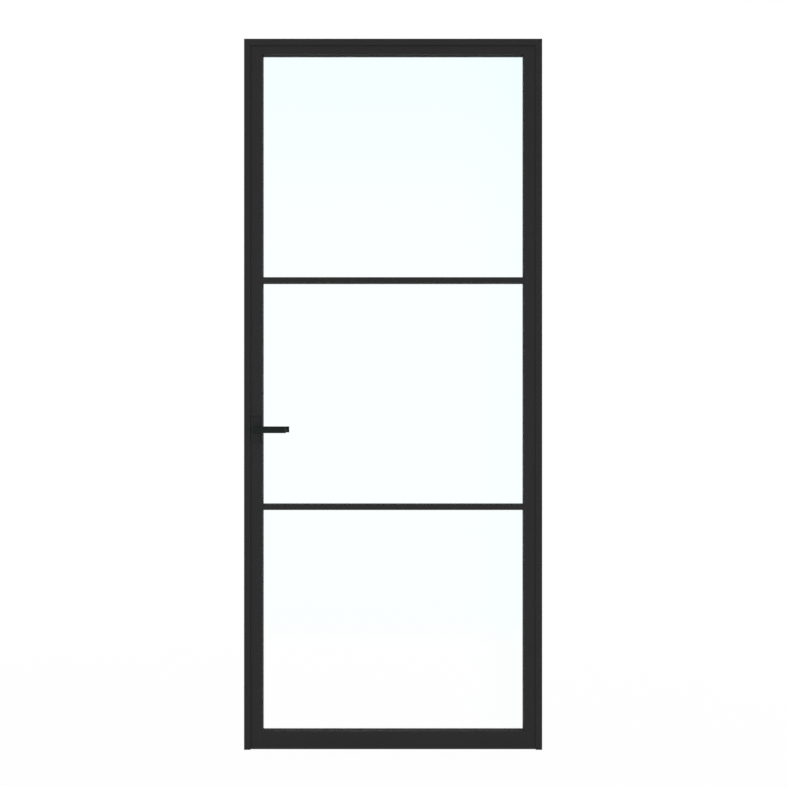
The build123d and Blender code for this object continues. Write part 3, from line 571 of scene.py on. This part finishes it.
def outwards(mesh: bpy.types.Mesh) -> None:
    """Turn the faces of a closed mesh outwards.

    Args:
        mesh: The mesh to turn.
    """
    work = bmesh.new()
    work.from_mesh(mesh)
    bmesh.ops.recalc_face_normals(work, faces=work.faces)
    work.to_mesh(mesh)
    work.free()


def dress(piece: bpy.types.Object, material: bpy.types.Material) -> None:
    """Give a piece one material in every slot it has.

    Args:
        piece: The object to dress.
        material: Its material.
    """
    if not piece.material_slots:
        piece.data.materials.append(material)
    for slot in piece.material_slots:
        slot.material = material


def barbed_foot(middle: float, base: float, half: float, depth: float, tip: int) -> np.ndarray:
    """Foot of a rubber profile: a neck, a barb that is wider than the neck, and a tapered tip.

    The half width is given at four depths, as shares of the one at the barb: 0.85 at both ends of the
    neck, 1 at the barb and 0.45 at the tip. The outline goes down one side and back up the other.

    Args:
        middle: Place of the foot's centre line.
        base: Place of the seat that the foot goes into.
        half: Half width at the barb.
        depth: Length of the foot.
        tip: Direction of the tip from the seat, 1 or -1.

    Returns:
        Points (across, along) from the low side round the tip to the high side.
    """
    along = np.array([0.0, 0.30, 0.50, 1.0])
    width = np.array([0.85, 0.85, 1.0, 0.45])
    down = np.stack([middle - half * width, base + tip * depth * along], axis=1)
    back = np.stack([middle + half * width, base + tip * depth * along], axis=1)[::-1]
    return np.concatenate([down, back])


@dataclass
class StopSeal:
    """Bulb seal on the frame's flange: up one jamb, over the head and down the other."""

    half_width: float
    height: float
    front: float
    back: float
    land: float = 11.0 * MM
    middle: float = 15.5 * MM
    bulb_half: float = 4.4 * MM
    bulb_power: float = 0.7
    foot_half: float = 1.38 * MM
    foot_depth: float = 1.38 * MM
    steps: int = 22

    @classmethod
    def from_node(cls) -> "StopSeal":
        """Seal with the outline and depth of the plain solid, which lies one land inside the frame."""
        low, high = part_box("frame_seal")
        return cls(high.x + cls.land, high.z + cls.land, low.y, high.y)

    def profile(self) -> np.ndarray:
        """Outline of a bulb, cos t across and a power of sin t deep for t from 0 to pi, and of its foot.

        Returns:
            Points (inset, depth).
        """
        t = np.linspace(0.0, np.pi, self.steps)
        inset = self.middle + self.bulb_half * np.cos(t)
        seat = self.front + self.foot_depth
        depth = seat + (self.back - seat) * np.sin(t).clip(0.0) ** self.bulb_power
        bulb = np.stack([inset, depth], axis=1)
        return np.concatenate([bulb, barbed_foot(self.middle, seat, self.foot_half, self.foot_depth, -1)])

    def build(self, body: str, material: bpy.types.Material) -> bpy.types.Object:
        """Carry the outline round the frame, mitred at both corners.

        A point with inset u lies u inside the frame's outer edge on all three sides.

        Args:
            body: The body it moves with.
            material: Its material.

        Returns:
            The seal.
        """
        inset, depth = self.profile().T
        side = self.half_width - inset
        top = self.height - inset
        floor = np.zeros_like(inset)
        corners = ((-side, floor), (-side, top), (side, top), (side, floor))
        grid = np.stack([np.stack([x, depth, z], axis=1) for x, z in corners])
        seal = swept("stop_seal", [(grid, False)])
        dress(seal, material)
        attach(seal, body)
        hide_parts("frame_seal")
        return seal


# The two ends of a pane gasket's outline, outset and depth in millimetres, seen on the front one
GASKET_NOSE = ((0.75, -8.0), (0.5, -7.3), (0.62, -6.0), (0.5, -4.6))
GASKET_HEEL = ((7.5, -4.6), (7.5, -7.6), (7.2, -8.0))


@dataclass
class PaneGasket:
    """Pair of gaskets round one pane: a footed one in front of the glass and a plain one behind it."""

    name: str
    low: float
    high: float
    half_width: float
    leg_back: float = -8.0 * MM
    glass: float = -4.0 * MM
    setback: float = 0.5 * MM
    width: float = 7.0 * MM
    groove_depth: float = 0.45 * MM
    groove_margin: float = 0.04
    grooves: int = 3
    foot_middle: float = 4.5 * MM
    foot_half: float = 1.38 * MM
    foot_depth: float = 1.88 * MM
    steps: int = 25

    @classmethod
    def from_node(cls, name: str) -> "PaneGasket":
        """Pair of gaskets round the daylight of a pane, read from the plain solid's outer edge.

        Args:
            name: Name of the pane.

        Returns:
            The pair of gaskets.
        """
        low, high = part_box(f"glazing_gaskets_{name}")
        edge = cls.setback + cls.width
        return cls(name, low.z + edge, high.z - edge, high.x - edge)

    def section(self) -> np.ndarray:
        """Outline of a gasket without its foot, from the lip at the daylight to the heel.

        The side on the glass has ribs with grooves between them, whose depth follows sin squared.

        Returns:
            Points (outset, depth).
        """
        share = np.linspace(0.0, 1.0, self.steps)
        groove = self.groove_depth * np.sin(np.pi * self.grooves * share) ** 2
        inner = self.groove_margin + (1.0 - 2.0 * self.groove_margin) * share
        ribs = np.stack([self.setback + self.width * inner, self.glass - groove], axis=1)
        return np.concatenate([np.array(GASKET_NOSE) * MM, ribs, np.array(GASKET_HEEL) * MM])

    def front(self) -> np.ndarray:
        """Outline of the front gasket: the section and the foot in its groove."""
        foot = barbed_foot(self.foot_middle, self.leg_back, self.foot_half, self.foot_depth, -1)
        return np.concatenate([self.section(), foot[::-1]])

    def back(self) -> np.ndarray:
        """Outline of the gasket behind the glass: the section mirrored."""
        return self.section() * np.array([1.0, -1.0])

    def ring(self, outline: np.ndarray) -> np.ndarray:
        """Carry an outline round the pane: a point with outset u lies u outside the daylight.

        Args:
            outline: Points (outset, depth).

        Returns:
            Four rings of points, one at each corner.
        """
        outset, depth = outline.T
        corners = ((-1, -1), (1, -1), (1, 1), (-1, 1))
        rings = []
        for right, up in corners:
            x = right * (self.half_width + outset)
            z = self.high + outset if up > 0 else self.low - outset
            rings.append(np.stack([x, depth, z], axis=1))
        return np.stack(rings)

    def build(self, body: str, material: bpy.types.Material) -> bpy.types.Object:
        """Make both gaskets of the pane as one piece.

        Args:
            body: The body it moves with.
            material: Its material.

        Returns:
            The pair of gaskets.
        """
        rings = [(self.ring(outline), True) for outline in (self.front(), self.back())]
        pair = swept(f"pane_gaskets_{self.name}", rings)
        dress(pair, material)
        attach(pair, body)
        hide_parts(f"glazing_gaskets_{self.name}")
        return pair


@dataclass
class FloorSeal:
    """Rubber strip under the leaf; its lips, with hollows between them, stop just above the floor."""

    half_width: float
    foot_half_width: float = 430.4 * MM
    leaf_bottom: float = 5.0 * MM
    lip_bottom: float = 0.6 * MM
    front: float = -20.0 * MM
    depth: float = 7.0 * MM
    hollow_depth: float = 2.2 * MM
    hollows: int = 2
    foot_half: float = 1.38 * MM
    foot_depth: float = 2.28 * MM
    steps: int = 33

    @classmethod
    def from_node(cls) -> "FloorSeal":
        """Seal as wide as the plain solid."""
        return cls(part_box("bottom_seal")[1].x)

    def strip(self) -> np.ndarray:
        """Outline of the strip, whose lower side rises between its lips as sin squared.

        Returns:
            Points (depth, height).
        """
        share = np.linspace(0.0, 1.0, self.steps)
        rise = self.hollow_depth * np.sin(np.pi * self.hollows * share) ** 2
        lower = np.stack([self.front + self.depth * share, self.lip_bottom + rise], axis=1)
        upper = np.array([[self.front + self.depth, self.leaf_bottom], [self.front, self.leaf_bottom]])
        return np.concatenate([lower, upper])

    def foot(self) -> np.ndarray:
        """Outline (depth, height) of the foot in the bottom rail's groove."""
        middle = self.front + self.depth / 2
        return barbed_foot(middle, self.leaf_bottom, self.foot_half, self.foot_depth, 1)

    def level(self, outline: np.ndarray, reach: float) -> np.ndarray:
        """Carry an outline straight along X from -reach to reach."""
        ends = [np.column_stack([np.full(len(outline), x), outline]) for x in (-reach, reach)]
        return np.stack(ends)

    def build(self, body: str, material: bpy.types.Material) -> bpy.types.Object:
        """Make the strip and its foot.

        Args:
            body: The body it moves with.
            material: Its material.

        Returns:
            The seal.
        """
        strip = self.level(self.strip(), self.half_width)
        foot = self.level(self.foot(), self.foot_half_width)
        seal = swept("floor_seal", [(strip, False), (foot, False)])
        dress(seal, material)
        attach(seal, body)
        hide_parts("bottom_seal")
        return seal


@dataclass
class LatchSpring:
    """Coil spring behind the latch; it shortens while the latch goes in."""

    start: float
    end: float
    height: float
    radius: float
    throw: float = 10.0 * MM
    wire: float = 0.45 * MM
    turns: int = 6
    steps: int = 24
    around: int = 12

    @classmethod
    def from_node(cls) -> "LatchSpring":
        """Spring that fills the box of the plain solid."""
        low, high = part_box("latch_spring")
        return cls(low.x, high.x, (low.z + high.z) / 2, (high.z - low.z) / 2 - cls.wire)

    def coil(self) -> np.ndarray:
        """Wire round the line (rise * t, radius * cos t, radius * sin t), t growing by 2 pi each turn.

        A ring of the wire lies in the plane of the direction outwards, (0, cos t, sin t), and the one
        across it and the line.

        Returns:
            Points of shape (places along the line, points round the wire, 3).
        """
        t = np.linspace(0.0, 2 * np.pi * self.turns, self.turns * self.steps + 1)
        rise = (self.end - self.start - 2 * self.wire) / t[-1]
        out = np.stack([np.zeros_like(t), np.cos(t), np.sin(t)], axis=1)
        ahead = np.stack([np.full_like(t, rise), -self.radius * np.sin(t), self.radius * np.cos(t)], axis=1)
        across = np.cross(out, ahead / np.hypot(rise, self.radius))
        first = np.array([self.start + self.wire, 0.0, self.height])
        line = first + rise * t[:, None] * np.array([1.0, 0.0, 0.0]) + self.radius * out
        turn = np.linspace(0.0, 2 * np.pi, self.around, endpoint=False)[None, :, None]
        return line[:, None] + self.wire * (np.cos(turn) * out[:, None] + np.sin(turn) * across[:, None])

    def build(self, body: str, material: bpy.types.Material) -> bpy.types.Object:
        """Make the spring and give it a mesh of its own.

        Args:
            body: The body it moves with.
            material: Its material.

        Returns:
            The spring.
        """
        spring = swept("latch_coil", [(self.coil(), False)])
        dress(spring, material)
        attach(spring, body)
        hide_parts("latch_spring")
        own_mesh(spring)
        return spring


@dataclass
class Lamp:
    """Soft rectangular lamp that lights the object at a given share of plain daylight."""

    name: str
    place: Triple
    aim: Triple
    size: tuple[float, float]
    level: float

    def build(self) -> bpy.types.Object:
        """Make the lamp; its power is level * pi squared * distance squared.

        Returns:
            The lamp.
        """
        way = Vector(self.aim) - Vector(self.place)
        light = bpy.data.lights.new(self.name, "AREA")
        light.shape = "RECTANGLE"
        light.size, light.size_y = self.size
        light.energy = self.level * math.pi**2 * way.length_squared
        lamp = bpy.data.objects.new(self.name, light)
        lamp.location = self.place
        lamp.rotation_euler = way.to_track_quat("-Z", "Y").to_euler()
        lamp.visible_camera = False
        lamp.visible_glossy = False
        lamp.visible_transmission = False
        bpy.context.scene.collection.objects.link(lamp)
        return lamp


@dataclass
class Room:
    """Pale floor, white surroundings, soft lamps and the camera of the picture.

    The floor shows a share of white near the object that grows to 1 between two distances. The camera
    stands in front of the frame's front face, and the picture's middle and width are taken there.
    """

    floor_half: float = 60.0
    floor_lines: int = 5
    floor_colour: Colour = (0.88, 0.88, 0.88)
    floor_white: float = 0.98
    white_from: tuple[float, float] = (1.0, 4.0)
    ambient: float = 0.20
    eye_height: float = 1.12
    distance: float = 3.8
    front: float = -25.5 * MM
    aside: float = 1.3 * MM
    middle: float = 1172.6 * MM
    view_width: float = 2589.6 * MM
    sensor: float = 36.0
    lamps: list[Lamp] = field(
        default_factory=lambda: [
            Lamp("key_lamp", (-1.4, -6.5, 1.3), (0.0, 0.0, 1.1), (2.2, 2.2), level=0.50),
            Lamp("fill_lamp", (1.4, -6.5, 1.0), (0.0, 0.0, 1.1), (2.2, 2.2), level=0.26),
            Lamp("rear_lamp", (3.4, 4.6, 2.4), (0.0, 0.0, 1.2), (2.6, 2.6), level=0.80),
            Lamp("rear_fill_lamp", (-3.6, 4.2, 1.4), (0.0, 0.0, 1.1), (2.4, 2.4), level=0.40),
        ]
    )

    def floor(self) -> bpy.types.Object:
        """Flat square floor that shows almost white to the eye and keeps the object's shadow.

        Returns:
            The floor.
        """
        across = np.linspace(-self.floor_half, self.floor_half, self.floor_lines)
        x, y = np.meshgrid(across, across, indexing="ij")
        points = np.stack([x, y, np.zeros_like(x)], axis=-1).reshape(-1, 3)
        index = np.arange(self.floor_lines**2).reshape(x.shape)
        quads = np.stack([index[:-1, :-1], index[1:, :-1], index[1:, 1:], index[:-1, 1:]], axis=-1)
        mesh = bpy.data.meshes.new("floor")
        mesh.from_pydata(points.tolist(), [], quads.reshape(-1, 4).tolist())
        floor = bpy.data.objects.new("floor", mesh)
        bpy.context.scene.collection.objects.link(floor)
        material, shader = Shader.of_material("pale_floor")
        plain = shader.surface("ShaderNodeBsdfDiffuse", {"Color": (*self.floor_colour, 1.0)})
        white = shader.surface("ShaderNodeEmission", {"Color": (*WHITE, 1.0), "Strength": 1.0})
        x, y, _ = shader.axes()
        near, far = self.white_from
        away = ((x * x + y * y - near * near) / (far * far - near * near)).eased()
        share = shader.seen() * (self.floor_white + (1.0 - self.floor_white) * away)
        shader.show(shader.either(share, plain, white))
        dress(floor, material)
        return floor

    def surroundings(self) -> None:
        """White world at strength 1 for what is seen, mirrored or seen through glass; dimmer as light."""
        world = bpy.data.worlds.new("surroundings")
        world.use_nodes = True
        bpy.context.scene.world = world
        shader = Shader(world.node_tree)
        light, white = (
            shader.surface("ShaderNodeBackground", {"Color": (*WHITE, 1.0), "Strength": strength})
            for strength in (self.ambient, 1.0)
        )
        shader.show(shader.either(shader.seen(), light, white), "ShaderNodeOutputWorld")

    def camera(self) -> bpy.types.Object:
        """Level camera at eye height, shifted up so that the whole door is in view.

        Returns:
            The camera.
        """
        data = bpy.data.cameras.new("camera")
        data.sensor_width = self.sensor
        data.lens = self.sensor * self.distance / self.view_width
        data.shift_y = (self.middle - self.eye_height) / self.view_width
        camera = bpy.data.objects.new("camera", data)
        camera.location = (self.aside, self.front - self.distance, self.eye_height)
        camera.rotation_euler = (math.pi / 2, 0.0, 0.0)
        bpy.context.scene.collection.objects.link(camera)
        bpy.context.scene.camera = camera
        return camera

    def build(self) -> None:
        """Make the room."""
        self.floor()
        self.surroundings()
        for lamp in self.lamps:
            lamp.build()
        self.camera()
        bpy.context.scene.view_settings.view_transform = "Standard"


@dataclass
class Door:
    """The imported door: dresses every carried-over solid and adds the rubber profiles and the spring."""

    frame: dict[str, Any]

    def dress_solids(self, materials: dict[str, bpy.types.Material]) -> None:
        """Give each solid the finish of its slot in the record.

        Args:
            materials: Material of each slot.
        """
        for entry in self.frame["record"]["subparts"]:
            slot = OWN_FINISH.get(entry["node"], entry["material_slot"])
            dress(self.frame["nodes"][entry["node"]], materials[slot])
            LOG.info("%s: %s", entry["node"], slot)

    def soft_parts(self, rubber: bpy.types.Material, steel: bpy.types.Material) -> None:
        """Make the rubber profiles and the latch spring in the places of the plain solids.

        Args:
            rubber: Material of the profiles.
            steel: Material of the spring.
        """
        pieces = [StopSeal.from_node().build("frame", rubber), FloorSeal.from_node().build("leaf", rubber)]
        for name in ("bottom", "middle", "top"):
            pieces.append(PaneGasket.from_node(name).build("leaf", rubber))
        pieces.append(LatchSpring.from_node().build("leaf", steel))
        for piece in pieces:
            LOG.info("%s: %d faces", piece.name, len(piece.data.polygons))


def main() -> None:
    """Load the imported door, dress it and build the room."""
    logging.basicConfig(level=logging.INFO, format="%(name)s %(message)s")
    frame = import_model()
    materials = {slot: finish.build() for slot, finish in FINISHES.items()}
    door = Door(frame)
    door.dress_solids(materials)
    door.soft_parts(materials["rubber"], materials["steel"])
    Room().build()


if __name__ == "__main__":
    main()
